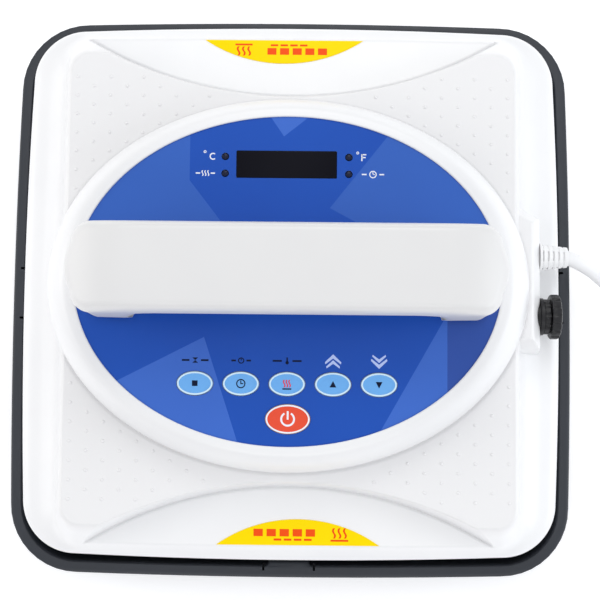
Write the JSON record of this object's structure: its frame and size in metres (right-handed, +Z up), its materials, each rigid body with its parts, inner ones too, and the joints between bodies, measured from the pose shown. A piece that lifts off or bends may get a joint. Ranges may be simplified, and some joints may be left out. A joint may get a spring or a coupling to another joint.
{
  "type": "portable flat heat press",
  "caption": "Hand-held flat heat press with an oval digital control panel and a bridge handle, resting in its low safety tray, with a mains cord and plug.",
  "frame": {"origin": "centre of the tray's footprint, on the table, at the middle of the tray's flat centre pad", "axes": "+Z up, +Y towards the display end of the panel, +X towards the side that the mains cord leaves from"},
  "size_m": [0.333, 0.28, 0.141],
  "materials": {
    "tray_plastic": "fine matt texture",
    "rubber": "matt",
    "mat": "woven glass cloth",
    "white_plastic": "glossy moulded ABS",
    "handle_plastic": "glossy moulded ABS",
    "coated_plate": "dark non-stick coating",
    "element_steel": "heat-tinted",
    "insulation": "fibrous felt",
    "shield_aluminium": "satin sheet",
    "steel": "plated",
    "frame_plastic": "matt",
    "panel_base": "matt",
    "panel_print": "printed polyester film, blue facets",
    "key_blue": "printed film",
    "key_red": "printed film",
    "dark_window": "dark tinted",
    "circuit_board": "green laminate",
    "black_plastic": "matt black",
    "relay_blue": "moulded case",
    "winding": "taped winding",
    "terminal_green": "moulded",
    "cord_pvc": "soft white sheath",
    "lead_sleeve": "braided glass sleeve",
    "fuse_glass": "glass tube with metal ends",
    "label_yellow": "printed yellow film",
    "brass": "nickelled"
  },
  "bodies": {
    "tray": {"base_tray": "tray_plastic", "base_mat": "mat", "tray_foot_1": "rubber", "tray_foot_2": "rubber", "tray_foot_3": "rubber", "tray_foot_4": "rubber", "mains_plug": "cord_pvc", "plug_pin_1": "brass", "plug_pin_2": "brass"},
    "press": {"heat_plate": "coated_plate", "heating_element": "element_steel", "insulation_pad": "insulation", "heat_shield": "shield_aluminium", "standoff_1": "steel", "standoff_2": "steel", "standoff_3": "steel", "standoff_4": "steel", "thermal_cutout": "steel", "temperature_probe": "steel", "bottom_frame": "frame_plastic", "upper_shell": "white_plastic", "bezel_ring": "white_plastic", "panel_plate": "panel_base", "panel_film": "panel_print", "display_window": "dark_window", "display_module": "black_plastic", "indicator_1": "dark_window", "indicator_2": "dark_window", "indicator_3": "dark_window", "indicator_4": "dark_window", "control_board": "circuit_board", "buzzer": "black_plastic", "power_board": "circuit_board", "relay": "relay_blue", "transformer": "winding", "terminal_block": "terminal_green", "handle_top": "handle_plastic", "handle_bottom": "handle_plastic", "handle_screw_1": "steel", "handle_screw_2": "steel", "strain_relief": "cord_pvc", "power_cord": "cord_pvc", "fuse_holder": "black_plastic", "glass_fuse": "fuse_glass", "frame_screw_1": "steel", "frame_screw_2": "steel", "frame_screw_3": "steel", "frame_screw_4": "steel", "label_front": "label_yellow", "label_rear": "label_yellow", "element_lead_1": "lead_sleeve", "element_lead_2": "lead_sleeve"},
    "key_mode": {"key_mode": "key_blue"},
    "key_timer": {"key_timer": "key_blue"},
    "key_heat": {"key_heat": "key_blue"},
    "key_up": {"key_up": "key_blue"},
    "key_down": {"key_down": "key_blue"},
    "key_power": {"key_power": "key_red"},
    "fuse_cap": {"fuse_cap": "black_plastic"}
  },
  "joints": [
    {"name": "press_lift", "type": "slide", "parent": "tray", "child": "press", "axis": [0, 0, 1], "range_m": [0, 0.12], "deforming": ["power_cord"]},
    {"name": "key_mode_press", "type": "slide", "parent": "press", "child": "key_mode", "axis": [0, 0, -1], "range_m": [0, 0.0004]},
    {"name": "key_timer_press", "type": "slide", "parent": "press", "child": "key_timer", "axis": [0, 0, -1], "range_m": [0, 0.0004]},
    {"name": "key_heat_press", "type": "slide", "parent": "press", "child": "key_heat", "axis": [0, 0, -1], "range_m": [0, 0.0004]},
    {"name": "key_up_press", "type": "slide", "parent": "press", "child": "key_up", "axis": [0, 0, -1], "range_m": [0, 0.0004]},
    {"name": "key_down_press", "type": "slide", "parent": "press", "child": "key_down", "axis": [0, 0, -1], "range_m": [0, 0.0004]},
    {"name": "key_power_press", "type": "slide", "parent": "press", "child": "key_power", "axis": [0, 0, -1], "range_m": [0, 0.0004]},
    {"name": "fuse_cap_turn", "type": "hinge", "parent": "press", "child": "fuse_cap", "pos_m": [0.1263, -0.012, 0.06], "axis": [1, 0, 0], "range_deg": [-90, 0]}
  ]
}
